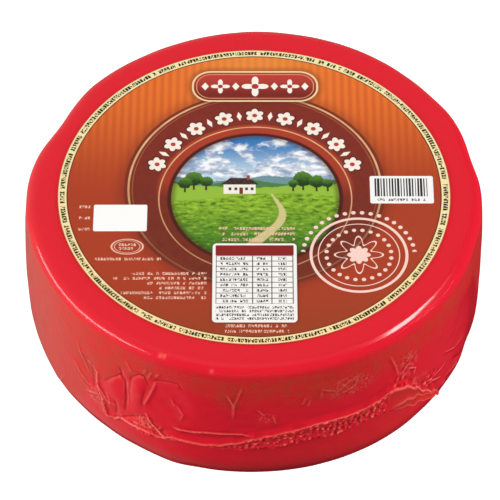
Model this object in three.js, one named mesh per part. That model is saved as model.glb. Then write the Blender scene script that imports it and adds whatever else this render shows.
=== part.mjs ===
// A small wheel of gouda, shrink-wrapped in red film, with a round printed label on its top.
// The bag's sealed hem runs across the front of the side and ends in a folded ear on the right.
// Millimetres, +Z up. The origin is the centre of the flat base, and the hem faces -Y.
import * as THREE from 'three';

// Driving dimensions of the wheel
const wheelRadius = 102;
const wheelHeight = 92.5;
const sideBulge = 1.6; // how far the side swells at half height
const topRound = 5; // radius of the top shoulder
const baseRound = 31; // radius of the wide curve under the side
const labelRadius = 88;
const labelThickness = 0.4;
const labelSides = 160;
const labelRim = 0.15; // bevel round the label's upper edge

// The bag's seal: stations of [azimuth in degrees, value in mm], azimuth 0 at the front and + to the right
const seamHeight = [
  [-180, 47], [-80, 46], [-48, 40], [-39, 36], [-34, 39.5], [-24, 39.5], [-13, 41], [-5, 44], [0, 47.5],
  [9, 51.5], [15.5, 53.5], [27.5, 53.5], [35.5, 57], [39.5, 54.5], [43, 49], [47, 43.5], [54, 37],
  [80, 46], [180, 47],
];
const ridgeRise = [
  [-180, 1.3], [-130, 1.1], [-115, 0], [-52, 0], [-42, 1.3], [-20, 1.7], [25, 1.7], [48, 1.9],
  [58, 0], [115, 0], [130, 1.1], [180, 1.3],
];
const hemDrop = [
  [-180, 3], [-120, 2], [-60, 2], [-37, 2], [-27, 4], [-21, 2.5], [-12, 2.5], [0, 6], [6, 8],
  [22, 8], [32, 8.5], [36, 11], [41, 9], [47, 5], [54, 3], [60, 2], [120, 2], [180, 3],
];
const hemRise = [
  [-180, 0.7], [-130, 0.6], [-115, 0], [-44, 0], [-34, 0.9], [10, 1.1], [32, 1.5], [50, 1.6],
  [57, 0], [115, 0], [130, 0.6], [180, 0.7],
];
const ridgeHalfWidth = 1.5;
const hemStep = 0.5; // height over which the hem's lower edge drops back to the side
const pleatPitch = 2.6; // degrees from one pleat of the hem to the next
const pleatDepth = 0.55;
const ear = { azimuth: 51, spread: 3.4, rise: 3.4 };

// Film pulled up from the gather at the hem's left end in a fan of folds
const gather = { azimuth: -38, height: 37, folds: 15, depth: 0.9, reach: 24 };

// Slow unevenness of the wheel: broad swells and hollows of the whole side
const swells = [
  { azimuth: -146, spread: 18, rise: -0.75 },
  { azimuth: -116, spread: 11.5, rise: -3.3 },
  { azimuth: -84, spread: 9, rise: 0.4 },
  { azimuth: -40, spread: 18, rise: 0.5 },
  { azimuth: -14, spread: 12, rise: 0.6 },
  { azimuth: 35, spread: 8, rise: 0.4 },
  { azimuth: 74, spread: 5, rise: -0.6 },
  { azimuth: 103, spread: 7, rise: -1.2 },
  { azimuth: 117, spread: 8, rise: 0.7 },
  { azimuth: 165, spread: 34, rise: 1.5 },
];
// Local dents and corners of the film, each at its own height
const dents = [
  { azimuth: 70, height: 24, spread: 3.5, tall: 10, rise: -0.8 },
  { azimuth: -21.5, height: 12, spread: 5, tall: 9, rise: 1.2 },
  { azimuth: -29, height: 64, spread: 3.4, tall: 10, rise: 0.9 },
  { azimuth: -36, height: 58, spread: 2.8, tall: 12, rise: 0.7 },
  { azimuth: -22, height: 62, spread: 2.6, tall: 13, rise: -0.7 },
  { azimuth: 40, height: 66, spread: 3, tall: 9, rise: 0.6 },
];

// Grid of the solid: columns round the wheel, closer together along the front hem
const frontFrom = -62;
const frontTo = 70;
const frontStep = 1.3;
const backStep = 6;
const baseArcRows = 7;
const lowerSideRows = 3;
const upperSideRows = 7;
const shoulderRows = 5;

const rad = THREE.MathUtils.degToRad;
const bell = (x, spread) => Math.exp(-((x / spread) ** 2));

// Shortest signed turn from one azimuth to another, in degrees
function turn(from, to) {
  return THREE.MathUtils.euclideanModulo(to - from + 180, 360) - 180;
}

// Value at an azimuth, eased from station to station
function along(stations, azimuth) {
  const a = turn(0, azimuth);
  let i = 1;
  while (i < stations.length - 1 && stations[i][0] < a) i += 1;
  const [a0, v0] = stations[i - 1];
  const [a1, v1] = stations[i];
  return THREE.MathUtils.lerp(v0, v1, THREE.MathUtils.smoothstep(a, a0, a1));
}

// Radius of the plain wheel at a height
function plainRadius(z) {
  const level = (2 * z) / wheelHeight - 1;
  let radius = wheelRadius + sideBulge * (1 - level * level);
  if (z < baseRound) radius -= baseRound - Math.sqrt(baseRound ** 2 - (baseRound - z) ** 2);
  const intoShoulder = z - (wheelHeight - topRound);
  if (intoShoulder > 0) radius -= topRound - Math.sqrt(Math.max(0, topRound ** 2 - intoShoulder ** 2));
  return radius;
}

// Folds that fan out from the gather and die away with distance
function gatherFolds(azimuth, z) {
  const across = rad(turn(gather.azimuth, azimuth)) * wheelRadius;
  const up = z - gather.height;
  const distance = Math.hypot(across, up);
  const fan = Math.sin(gather.folds * Math.atan2(up, across));
  const fade = bell(distance - gather.reach * 0.45, gather.reach * 0.5);
  return up > 0 ? gather.depth * fan * fade * Math.min(1, up / 6) : 0;
}

// Unevenness of the side, as an outward shift in mm. It fades into the flat base and the top face.
function unevenness(azimuth, z) {
  let shift = 0;
  for (const s of swells) shift += s.rise * bell(turn(s.azimuth, azimuth), s.spread);
  for (const d of dents) {
    shift += d.rise * bell(turn(d.azimuth, azimuth), d.spread) * bell(z - d.height, d.tall);
  }
  return shift + gatherFolds(azimuth, z);
}

// How far the hem stands off the side: the thick strip under the seam, with its pleats and its ear
function hemOffset(azimuth, share) {
  const rise = along(hemRise, azimuth);
  const pleats = pleatDepth * Math.sin((2 * Math.PI * azimuth) / pleatPitch) * Math.sin(Math.PI * share);
  const tip = ear.rise * bell(turn(ear.azimuth, azimuth), ear.spread) * (0.35 + 0.65 * share);
  return rise * (1 + pleats) + tip;
}

// One column of the skin from the centre of the base to the centre of the top, as [radius, height]
function column(azimuth) {
  const seam = along(seamHeight, azimuth);
  const hemFoot = seam - ridgeHalfWidth - along(hemDrop, azimuth);
  const ridge = along(ridgeRise, azimuth);
  const tip = ear.rise * bell(turn(ear.azimuth, azimuth), ear.spread);
  const side = (z, stand) => [plainRadius(z) + unevenness(azimuth, z) + stand, z];
  const points = [[0, 0]];
  for (let i = 0; i <= baseArcRows; i += 1) {
    const angle = rad((90 * i) / baseArcRows);
    const z = baseRound * (1 - Math.cos(angle));
    const lift = Math.sin(angle) ** 2;
    points.push([plainRadius(z) + unevenness(azimuth, z) * lift, z]);
  }
  for (let i = 1; i < lowerSideRows; i += 1) {
    points.push(side(THREE.MathUtils.lerp(baseRound, hemFoot - hemStep, i / lowerSideRows), 0));
  }
  points.push(side(hemFoot - hemStep, 0));
  points.push(side(hemFoot, hemOffset(azimuth, 0)));
  points.push(side((hemFoot + seam - ridgeHalfWidth) / 2, hemOffset(azimuth, 0.5)));
  points.push(side(seam - ridgeHalfWidth, hemOffset(azimuth, 1)));
  points.push(side(seam, ridge + tip));
  points.push(side(seam + ridgeHalfWidth, 0.3 * ridge + 0.35 * tip));
  const shoulderFoot = wheelHeight - topRound;
  for (let i = 1; i <= upperSideRows; i += 1) {
    points.push(side(THREE.MathUtils.lerp(seam + ridgeHalfWidth, shoulderFoot, i / upperSideRows), 0));
  }
  for (let i = 1; i <= shoulderRows; i += 1) {
    const z = shoulderFoot + topRound * Math.sin(rad((90 * i) / shoulderRows));
    points.push(side(z, 0));
  }
  points.push([0, wheelHeight]);
  return points;
}

// Azimuths of the columns, once round
function columnAzimuths() {
  const azimuths = [];
  const frontCount = Math.round((frontTo - frontFrom) / frontStep);
  for (let i = 0; i < frontCount; i += 1) azimuths.push(frontFrom + ((frontTo - frontFrom) * i) / frontCount);
  const backSweep = 360 - (frontTo - frontFrom);
  const backCount = Math.round(backSweep / backStep);
  for (let i = 0; i < backCount; i += 1) azimuths.push(frontTo + (backSweep * i) / backCount);
  return azimuths;
}

// Closed skin through the columns, with one vertex at the base's centre and one at the top's
function wheelGeometry() {
  const azimuths = columnAzimuths();
  const columns = azimuths.map((a) => column(a));
  const rows = columns[0].length - 2;
  const positions = [0, 0, 0];
  for (let c = 0; c < azimuths.length; c += 1) {
    const sin = Math.sin(rad(azimuths[c]));
    const cos = Math.cos(rad(azimuths[c]));
    for (let r = 1; r <= rows; r += 1) {
      const [radius, z] = columns[c][r];
      positions.push(radius * sin, -radius * cos, z);
    }
  }
  positions.push(0, 0, wheelHeight);
  const top = 1 + azimuths.length * rows;
  const indices = [];
  for (let c = 0; c < azimuths.length; c += 1) {
    const here = 1 + c * rows;
    const next = 1 + ((c + 1) % azimuths.length) * rows;
    indices.push(0, next, here);
    for (let r = 0; r < rows - 1; r += 1) {
      indices.push(here + r, next + r, next + r + 1);
      indices.push(here + r, next + r + 1, here + r + 1);
    }
    indices.push(top, here + rows - 1, next + rows - 1);
  }
  const geometry = new THREE.BufferGeometry();
  geometry.setAttribute('position', new THREE.Float32BufferAttribute(positions, 3));
  geometry.setIndex(indices);
  geometry.computeVertexNormals();
  return geometry;
}

// Thin round label, lathed about its own axis with a small bevel on its upper edge
function labelGeometry() {
  const outline = [
    new THREE.Vector2(0, 0),
    new THREE.Vector2(labelRadius, 0),
    new THREE.Vector2(labelRadius, labelThickness - labelRim),
    new THREE.Vector2(labelRadius - labelRim, labelThickness),
    new THREE.Vector2(0, labelThickness),
  ];
  const geometry = new THREE.LatheGeometry(outline, labelSides);
  geometry.rotateX(Math.PI / 2);
  return geometry;
}

const redFilm = new THREE.MeshStandardMaterial({ color: 0xd8202c, roughness: 0.28, metalness: 0 });
const printedPaper = new THREE.MeshStandardMaterial({ color: 0xb5502a, roughness: 0.5, metalness: 0 });

const wheel = new THREE.Mesh(wheelGeometry(), redFilm);
wheel.name = 'wrapped_wheel';

const label = new THREE.Mesh(labelGeometry(), printedPaper);
label.name = 'label';
label.position.z = wheelHeight;

const gouda = new THREE.Group();
gouda.add(wheel, label);
export default gouda;
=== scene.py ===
# A small wheel of gouda shut in red shrink film, with a round printed label on its flat top.
# Metres, +Z up. Azimuths are in degrees: 0 is the front (-Y), and they grow towards +X.
import math

import bmesh
import bpy
import numpy as np
from mathutils import Matrix, Vector


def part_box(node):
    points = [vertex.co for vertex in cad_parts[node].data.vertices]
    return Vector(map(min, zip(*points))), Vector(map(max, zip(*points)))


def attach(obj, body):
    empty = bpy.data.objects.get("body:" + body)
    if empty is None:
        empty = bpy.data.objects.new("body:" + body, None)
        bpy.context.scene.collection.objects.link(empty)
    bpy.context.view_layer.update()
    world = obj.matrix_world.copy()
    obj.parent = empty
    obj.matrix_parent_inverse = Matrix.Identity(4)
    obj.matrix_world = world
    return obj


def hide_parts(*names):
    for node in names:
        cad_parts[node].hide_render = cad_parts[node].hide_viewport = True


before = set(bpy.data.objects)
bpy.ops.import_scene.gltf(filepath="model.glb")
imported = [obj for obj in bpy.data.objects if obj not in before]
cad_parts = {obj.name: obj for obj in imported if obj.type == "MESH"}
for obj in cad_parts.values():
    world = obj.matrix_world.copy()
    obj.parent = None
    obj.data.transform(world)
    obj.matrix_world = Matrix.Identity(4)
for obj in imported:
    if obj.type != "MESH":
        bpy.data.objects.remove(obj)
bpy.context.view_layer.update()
mm = 0.001
near = 0.01 * mm  # heights this close are the same height
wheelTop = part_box("wrapped_wheel")[1].z
labelLow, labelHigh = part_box("label")
print("frame loaded")


# Shader maths: sums written in Python, each adding its own Math node

class Wire:  # a socket that takes part in such sums
    def __init__(self, recipe, socket):
        self.recipe = recipe
        self.socket = socket

    def math(self, operation, *values):
        inputs = dict(enumerate((self, *values)))
        return self.recipe.node("ShaderNodeMath", {"operation": operation}, inputs)

    def turned(self, operation, other):  # the same with its two values the other way round
        return self.recipe.node("ShaderNodeMath", {"operation": operation}, {0: other, 1: self})

    def __add__(self, other):
        return self.math("ADD", other)

    def __sub__(self, other):
        return self.math("SUBTRACT", other)

    def __mul__(self, other):
        return self.math("MULTIPLY", other)

    def __truediv__(self, other):
        return self.math("DIVIDE", other)

    def __rsub__(self, other):
        return self.turned("SUBTRACT", other)

    def __rtruediv__(self, other):
        return self.turned("DIVIDE", other)

    def __abs__(self):
        return self.math("ABSOLUTE")

    __radd__ = __add__
    __rmul__ = __mul__

    def clip(self):
        return self.recipe.node("ShaderNodeClamp", {}, {"Value": self})


class Recipe:  # one material and the nodes in it
    def __init__(self, name):
        self.material = bpy.data.materials.new(name)
        self.material.use_nodes = True
        self.nodes = self.material.node_tree.nodes
        self.links = self.material.node_tree.links
        self.shader = self.nodes["Principled BSDF"]

    def node(self, kind, settings, inputs, output=0):
        made = self.nodes.new(kind)
        for name, value in settings.items():
            setattr(made, name, value)
        for name, value in inputs.items():
            self.feed(made.inputs[name], value)
        return Wire(self, made.outputs[output])

    def feed(self, socket, value):
        if isinstance(value, Wire):
            self.links.new(value.socket, socket)
        elif isinstance(value, tuple) and socket.type == "RGBA":
            socket.default_value = (*value, 1)
        else:
            socket.default_value = value

    def place(self, x=1, y=1, z=1):  # a point of the piece in mm, drawn together where a factor is over 1
        raw = self.node("ShaderNodeTexCoord", {}, {}, "Object")
        return self.node("ShaderNodeMapping", {}, {"Vector": raw, "Scale": (x / mm, y / mm, z / mm)})

    def vector(self, operation, first, second=None, output=0):
        other = {} if second is None else {"Scale" if operation == "SCALE" else 1: second}
        return self.node("ShaderNodeVectorMath", {"operation": operation}, {0: first, **other}, output)

    def split(self, vector, axes):
        return [self.node("ShaderNodeSeparateXYZ", {}, {0: vector}, axis) for axis in axes]

    def mix(self, share, low, high):  # colours
        ends = {0: share, 6: low, 7: high}
        return self.node("ShaderNodeMix", {"data_type": "RGBA"}, ends, 2)

    def ease(self, value, start, end):  # 0 before start, 1 after end
        spans = {"Value": value, "From Min": start, "From Max": end}
        return self.node("ShaderNodeMapRange", {"interpolation_type": "SMOOTHSTEP", "clamp": False}, spans)

    def noise(self, vector, scale, detail=2.0, roughness=0.5, distortion=0.0):
        looks = {"Vector": vector, "Scale": scale, "Detail": detail, "Roughness": roughness}
        return self.node("ShaderNodeTexNoise", {}, {**looks, "Distortion": distortion})

    def finish(self, **sockets):
        for name, value in sockets.items():
            self.feed(self.shader.inputs[name.replace("_", " ")], value)
        return self.material


# Modelling helpers

def edit(piece, mode):  # opens a piece in edit mode with nothing selected
    bpy.ops.object.select_all(action="DESELECT")
    bpy.context.view_layer.objects.active = piece
    piece.select_set(True)
    bpy.ops.object.mode_set(mode="EDIT")
    bpy.ops.mesh.select_mode(type=mode)
    bpy.ops.mesh.select_all(action="DESELECT")


def pick(piece, kind, test):  # selects the faces or edges that pass a test
    shape = bmesh.from_edit_mesh(piece.data)
    for item in getattr(shape, kind):
        item.select_set(test(item))
    shape.select_flush_mode()  # carries the choice over to corners and edges
    bmesh.update_edit_mesh(piece.data)


def isAt(edge, level):
    return all(abs(corner.co.z - level) < near for corner in edge.verts)


def isCap(face):  # the many-sided end of a cylinder
    return len(face.verts) > 10


def leaveEdit():
    bpy.ops.object.mode_set(mode="OBJECT")


def points(piece):
    flat = np.empty(len(piece.data.vertices) * 3)
    piece.data.vertices.foreach_get("co", flat)
    return flat.reshape(-1, 3)


def setPoints(piece, radius, azimuth, height):  # in mm and degrees
    angle = np.radians(azimuth)
    places = np.stack([radius * np.sin(angle), -radius * np.cos(angle), height], 1) * mm
    piece.data.vertices.foreach_set("co", places.astype(np.float32).ravel())
    piece.data.update()


def settle(piece):  # puts the piece's place into its mesh
    bpy.ops.object.select_all(action="DESELECT")
    bpy.context.view_layer.objects.active = piece
    piece.select_set(True)
    bpy.ops.object.transform_apply(location=True, rotation=True, scale=True)


def bell(distance, spread):
    return np.exp(-((distance / spread) ** 2))


def ease(value, start, end):
    share = np.clip((value - start) / (end - start), 0, 1)
    return share * share * (3 - 2 * share)


def turn(start, end):  # shortest signed turn between azimuths
    return (end - start + 180) % 360 - 180


# The wheel with the film that hugs it
sideReach = 102  # mm from the axis, where lengths round the wheel are taken
filmReach = 103  # the same for what stands on the film

wheel = {
    "radius": sideReach * mm,
    "height": wheelTop,
    "bulge": 1.6 * mm,
    "topRound": 5 * mm,
    "baseRound": 31 * mm,
    "columns": 600,
    "frontTurn": (-60, 64),  # azimuths between which the columns stand closer
    "frontShare": 0.66,
    "sideRows": 104,
    "topRows": 8,
    "baseRows": 26,
    "capRings": (3 * mm, 3 * mm, 4 * mm, 30 * mm),
    "capFade": 6,  # how fast the unevenness dies away on the flat top and base
    # broad swells and hollows: azimuth, spread, rise in mm
    "swells": [(-146, 18, -0.75), (-116, 11.5, -3.3), (-84, 9, 0.4), (-40, 18, 0.5), (-14, 12, 0.6),
               (35, 8, 0.4), (74, 5, -0.6), (103, 7, -1.2), (117, 8, 0.7), (165, 34, 1.5)],
    # local ones: azimuth, height, spread, tall, rise
    "dents": [(70, 24, 3.5, 10, -0.8), (-21.5, 12, 5, 9, 1.2)],
    # random unevenness in layers: rise in mm, seed, number of waves, finest length in mm
    "uneven": [(0.16, 1, 12, 34), (0.05, 2, 16, 11)],
}

# The bag's seam: stations of azimuth and value in mm
seam = {
    "height": [(-180, 47), (-80, 46), (-48, 38), (-39, 34.5), (-36.5, 36), (-34, 39.5), (-29, 39.5),
               (-24, 38.5), (-20, 41), (-13, 41), (-9, 42), (-5, 44), (0, 47.5), (3.5, 49.5), (9, 51.5),
               (15.5, 53.5), (27.5, 53.5), (31, 55), (35.5, 57.5), (39.5, 54.5), (43, 48.5), (46, 41),
               (50, 34), (53, 28), (58, 30), (80, 46), (180, 47)],
    "crest": [(-180, 1.0), (-130, 0.8), (-115, 0), (-42, 0), (-35, 0.8), (-22, 1.4), (36, 1.6), (48, 1.6),
              (54, 0.6), (58, 0), (115, 0), (130, 0.8), (180, 1.0)],
    "slope": 5.5,  # width of the film's rise to the crest, in mm
    "curl": 1.6,  # how much that rise steepens towards the crest
    "lip": 0.9,  # width of the fall under the crest, in mm
}

# The film's folds
folds = {
    # creases: rise in mm, half width in mm, and the path as (azimuth, height)
    "creases": [
        (0.8, 1.1, [(-46, 66.5), (-41.5, 61.5), (-41.5, 54), (-40, 45), (-39, 37.5), (-38.5, 34)]),
        (-0.6, 0.9, [(-46.5, 65.5), (-44, 65), (-42, 61)]),
        (0.6, 0.8, [(-46, 42), (-43.5, 44), (-41.5, 46), (-40, 42.5), (-39.5, 35.5), (-37.5, 35)]),
        (0.45, 0.8, [(-41.5, 53), (-40, 50), (-38.5, 46), (-36, 46)]),
        (-0.5, 0.8, [(-39, 59), (-37, 64), (-34.5, 68.5), (-33.5, 65.5)]),
        (-0.8, 0.8, [(-34.5, 73.5), (-34, 69), (-33, 66.5), (-32.7, 55), (-33, 47)]),
        (-0.5, 0.8, [(-31.5, 69), (-30.5, 72.5), (-29, 75.5), (-27.5, 75.5), (-26.5, 71)]),
        (-0.5, 1.4, [(-31, 72), (-31.8, 62), (-31.6, 52)]),
        (-0.6, 1.2, [(-43.5, 62), (-43, 56), (-42.8, 49)]),
        (0.4, 0.75, [(-48.5, 71), (-46.8, 63), (-44.6, 56)]),
        (0.4, 0.75, [(-50, 56), (-47.5, 51), (-44.5, 47.5)]),
        (0.35, 0.75, [(-48, 47), (-45, 44.5), (-42.5, 42)]),
        (0.35, 0.75, [(-38.5, 52), (-37.6, 47), (-38, 42)]),
        (-0.5, 1.0, [(-36, 50), (-35.6, 45), (-36, 40)]),
        (0.3, 0.75, [(-32.5, 80), (-31.6, 76.5), (-31, 74.5)]),
        (0.3, 0.75, [(-27, 80.5), (-27.6, 77.5)]),
        (0.3, 0.75, [(-23.5, 81), (-24.5, 78)]),
        (-0.4, 1.0, [(-27, 68), (-28, 60), (-28.2, 54)]),
        (-0.45, 0.8, [(-25, 75), (-23.5, 76.5), (-20.5, 78), (-18.5, 78), (-17.5, 75)]),
        (0.5, 0.8, [(-24.5, 74.5), (-25, 70.5), (-26.5, 62), (-27.5, 57)]),
        (0.35, 0.75, [(-25.5, 80), (-26.5, 75.5)]),
        (-0.7, 0.8, [(-36, 38), (-32.5, 42.5), (-30, 45.5), (-27, 49)]),
        (0.8, 0.8, [(-27, 51), (-26.5, 48), (-25.5, 45), (-23.5, 42), (-21.5, 39.5), (-19.5, 38.5)]),
        (0.6, 0.8, [(-36.5, 35.5), (-34, 40), (-32, 39.5), (-29.5, 39.5), (-27.5, 39), (-25, 38)]),
        (0.35, 0.7, [(-44, 39.5), (-41.5, 39.8), (-39.5, 38)]),
        (0.3, 0.8, [(-19, 63), (-17.5, 58), (-18.2, 53)]),
        (0.3, 0.75, [(-20.5, 66), (-19.5, 62)]),
        (0.45, 0.8, [(-6.5, 76.5), (-5, 70), (-5.1, 61)]),
        (0.4, 0.8, [(-3, 81.5), (-4, 75), (-5, 69)]),
        (0.3, 0.75, [(0.8, 67), (2.4, 63)]),
        (0.3, 0.75, [(4.5, 62), (5.2, 57)]),
        (0.3, 0.75, [(11.5, 67.5), (12.6, 72)]),
        (0.3, 0.75, [(13, 66), (13.6, 70)]),
        (0.3, 0.8, [(16.2, 69), (16.6, 75), (21, 71)]),
        (0.35, 0.8, [(21, 71.5), (23.5, 76), (26.5, 78)]),
        (0.3, 0.75, [(22, 69), (25, 72), (26, 76)]),
        (0.4, 0.7, [(35, 80), (36.5, 72), (37.5, 64)]),
        (0.45, 0.7, [(40, 66), (43, 62), (42.5, 57)]),
        (0.6, 0.8, [(46, 44.8), (50, 43), (56, 43.5)]),
        (0.6, 0.8, [(47, 42.5), (50.5, 40.5), (54, 36.5)]),
        (0.4, 0.8, [(55, 52), (60, 46), (66, 43)]),
        (0.4, 0.8, [(56, 33), (62, 31), (69, 27)]),
        (-0.5, 1.4, [(60, 38), (66, 30), (72, 24)]),
        (0.3, 1.0, [(-62, 74), (-66, 60), (-67, 40)]),
        (0.25, 0.9, [(-74, 82), (-77, 60), (-78, 38)]),
        (0.3, 1.0, [(-55, 36), (-58, 26), (-64, 20)]),
    ],
    "creaseEnd": 0.15,  # a crease's share at its ends
    # the upper of the two lines at the left of the seam
    "line": [(-20.5, 47.5), (-18, 47.5), (-15.5, 48), (-11.5, 49.5), (-8.5, 50), (-3, 50.5), (1, 49)],
    "lineRise": 0.8,
    "lineWidth": 0.9,
    "lineFull": (0.15, 0.8),  # shares of its length between which it has its full rise
    # round swellings, where air lies under the film: azimuth, height, spread, tall, rise in mm
    "blisters": [(-29.3, 63, 2.6, 12, 0.9), (-36.5, 53, 3.2, 8, 0.5), (-20.5, 62, 4, 12, -0.5),
                 (-45.5, 60, 2.5, 7, -0.6), (-36.5, 62, 1.8, 5, 0.4)],
    # rough patches of tiny bubbles: azimuth, height, spread, tall, and their layer
    "bubbled": [(40.5, 70, 2.6, 6), (38, 60, 2.4, 5), (-26, 43.5, 3, 3), (48, 45, 4, 4)],
    "bubbles": [(0.2, 5, 14, 2)],
    # faint crumples all over the front
    "front": (0, 55, 60, 26),
    "crumples": [(0.06, 3, 18, 5)],
    # mm under the top between which the folds flatten, and how much of them goes
    "calm": (5.5, 1, 0.85),
    "step": 0.9,  # mm over which a fold's bend is felt
}

# The film's tones, worked out point by point: haze, whitened crests with painted highlights, painted shade in
# the hollows and at the foot, and crinkles
tones = ("haze", "paleAndHighlight", "hollowShade", "crinkle", "base")
toning = {
    # stations of azimuth and height in mm: the film is hazy above them, and below it lies tight and glossy
    "hazeEdge": [(-180, 15), (-60, 15), (-48, 30), (-44, 52), (-39, 59), (-37, 64), (-34.5, 68.5),
                 (-31.5, 69.5), (-29, 76), (-26.5, 73), (-25, 77), (-20, 80), (-17.5, 79), (-13, 74),
                 (-7, 69), (0, 71), (5, 72), (12, 67), (19, 67), (29, 70), (34, 73), (42, 72), (54, 72),
                 (64, 74), (72, 72), (78, 50), (90, 20), (180, 15)],
    "ragged": [(1.6, 8, 14, 12), (0.9, 9, 16, 4)],  # layers that make the edge uneven
    "raggedTop": 0.2,  # the share of them at the haze's upper end
    "hazeStart": (-6, 8),  # mm from the edge between which the haze sets in
    "hazeTop": ((90.5, 0.8), (83, 4.5)),  # heights between which it ends, and what the left side adds
    "leftSide": (-66, 27),  # azimuth and spread of that side
    "hazeUnder": (5, 22, 0.35),  # mm under the seam between which a faint haze sets in, and its share
    "palest": 1.2,  # bend at which a crest is fully whitened and given its painted highlight, per mm
    "paleFrom": 0.1,
    "deepest": 0.42,  # bend at which a hollow gets its full painted shade
    "deepFrom": 0.05,
    "specks": [(-23.5, 91.2), (-22.5, 91.4), (-10.3, 90)],  # on the shoulder: azimuth, height
    "speckSize": (0.45, 0.6),
    "speckTone": 0.6,
    "speckEdge": 0.5,  # mm under the top where they end
    # patches crinkled like paper: azimuth, height, spread, tall. The first is pressed into small cells.
    "crinkled": [(-27.5, 43, 4.5, 4), (-24, 41, 4, 2.5), (40.5, 68, 2.8, 7), (3, 61, 2.2, 3), (24, 72, 5, 6),
                 (44, 49, 4, 5), (-42, 43, 3, 6)],
    "looseMost": 0.5,
    "foot": (15, 2),  # heights between which the side darkens to its foot: painted shade near the floor
}


def along(stations, azimuth):  # eased value at an azimuth
    places, values = np.array(stations, float).T
    index = np.clip(np.searchsorted(places, azimuth) - 1, 0, len(places) - 2)
    share = ease(azimuth, places[index], places[index + 1])
    return values[index] + (values[index + 1] - values[index]) * share


# Smooth random unevenness that closes round the wheel, about -1 to 1. Waves are up to 2.2 times the finest.
def wobble(azimuth, height, seed, waves, finest):
    draw = np.random.default_rng(seed)
    total = np.zeros_like(azimuth)
    for _ in range(waves):
        length = finest * draw.uniform(1, 2.2)
        lean = draw.uniform(0, 2 * math.pi)
        around = round(2 * math.pi * sideReach / length * math.cos(lean))
        upward = 2 * math.pi / length * math.sin(lean)
        phase = draw.uniform(0, 6.3)
        total += np.sin(np.radians(azimuth) * around + height * upward + phase)
    return total / math.sqrt(waves)


def uneven(azimuth, height, layers):
    return sum(rise * wobble(azimuth, height, *waves) for rise, *waves in layers)


def spot(azimuth, height, at, level, spread, tall):  # 1 at a place on the side, fading away round it
    return bell(turn(at, azimuth), spread) * bell(height - level, tall)


# How far each point is from a line through places of (azimuth, height), in mm, and how far along it that is
def strokeDistance(azimuth, height, path):
    across = np.radians(azimuth) * sideReach
    nearest = np.full_like(across, np.inf)
    share = np.zeros_like(across)
    for number, ((a0, z0), (a1, z1)) in enumerate(zip(path[:-1], path[1:])):
        x0, x1 = math.radians(a0) * sideReach, math.radians(a1) * sideReach
        length = (x1 - x0) ** 2 + (z1 - z0) ** 2
        t = np.clip(((across - x0) * (x1 - x0) + (height - z0) * (z1 - z0)) / length, 0, 1)
        away = np.hypot(across - x0 - t * (x1 - x0), height - z0 - t * (z1 - z0))
        share = np.where(away < nearest, (number + t) / (len(path) - 1), share)
        nearest = np.minimum(nearest, away)
    return nearest, share


def broadRelief(azimuth, height):  # the slow swells of the wheel, in mm
    shift = np.zeros_like(azimuth)
    for at, spread, rise in wheel["swells"]:
        shift += rise * bell(turn(at, azimuth), spread)
    for *place, rise in wheel["dents"]:  # place holds azimuth, height, spread and tall
        shift += rise * spot(azimuth, height, *place)
    return shift + uneven(azimuth, height, wheel["uneven"])


def seamRelief(azimuth, height):
    above = height - along(seam["height"], azimuth)
    upper = np.clip(1 - above / seam["slope"], 0, 1) ** seam["curl"]
    lower = np.clip(1 + above / seam["lip"], 0, 1)
    return along(seam["crest"], azimuth) * np.where(above > 0, upper, lower)


def foldRelief(azimuth, height):  # the film's own folds, in mm
    shift = seamRelief(azimuth, height)
    for *place, rise in folds["blisters"]:
        shift += rise * spot(azimuth, height, *place)
    for rise, width, path in folds["creases"]:
        away, share = strokeDistance(azimuth, height, path)
        fade = np.sqrt(np.clip(4 * share * (1 - share) + folds["creaseEnd"], 0, 1))
        shift += rise * np.exp(-away / width) * fade
    away, share = strokeDistance(azimuth, height, folds["line"])
    start, end = folds["lineFull"]
    fade = ease(share, 0, start) * ease(share, 1, end)
    shift += folds["lineRise"] * np.exp(-away / folds["lineWidth"]) * fade
    rough = sum(spot(azimuth, height, *place) for place in folds["bubbled"])
    shift += rough * uneven(azimuth, height, folds["bubbles"])
    return shift + spot(azimuth, height, *folds["front"]) * uneven(azimuth, height, folds["crumples"])


def foldBend(azimuth, height):  # below 0 on a fold's crest and above 0 beside it, per mm
    step = folds["step"]
    around = math.degrees(step / filmReach)
    total = -4 * foldRelief(azimuth, height)
    for turned, raised in ((around, 0), (-around, 0), (0, step), (0, -step)):
        total += foldRelief(azimuth + turned, height + raised)
    return total / step**2


def makeWheelBlank():  # a cylinder with both rims rounded, its side cut into rows and its ends into rings
    top = wheel["height"]
    bpy.ops.mesh.primitive_cylinder_add(vertices=wheel["columns"], radius=wheel["radius"], depth=top,
                                        location=(0, 0, top / 2))
    piece = bpy.context.object
    piece.name = "film_wrapped_wheel"
    settle(piece)
    rims = ((0, wheel["baseRound"], wheel["baseRows"]), (top, wheel["topRound"], wheel["topRows"]))
    for level, width, rows in rims:
        edit(piece, "EDGE")
        pick(piece, "edges", lambda e: isAt(e, level))
        bpy.ops.mesh.bevel(offset=width, segments=rows, affect="EDGES", profile=0.5)
        leaveEdit()
    edit(piece, "EDGE")
    side = top - wheel["baseRound"] - wheel["topRound"]
    pick(piece, "edges", lambda e: abs(abs(e.verts[0].co.z - e.verts[1].co.z) - side) < 10 * near)
    bpy.ops.mesh.subdivide(number_cuts=wheel["sideRows"])
    leaveEdit()
    for up in (1, -1):
        edit(piece, "FACE")
        pick(piece, "faces", lambda f: isCap(f) and f.normal.z * up > 0)
        for ring in wheel["capRings"]:
            bpy.ops.mesh.inset(thickness=ring)
        bpy.ops.mesh.poke()
        leaveEdit()
    return piece


def crowdFront(azimuth):  # moves columns towards the front, where the film has its folds
    start, end = wheel["frontTurn"]
    half = 180 * wheel["frontShare"]
    rest = 360 - (end - start)
    inFront = start + (azimuth + half) / (2 * half) * (end - start)
    behind = end + ((azimuth - half) % 360) / (360 - 2 * half) * rest
    return np.where(np.abs(azimuth) <= half, inFront, turn(0, behind))


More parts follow.
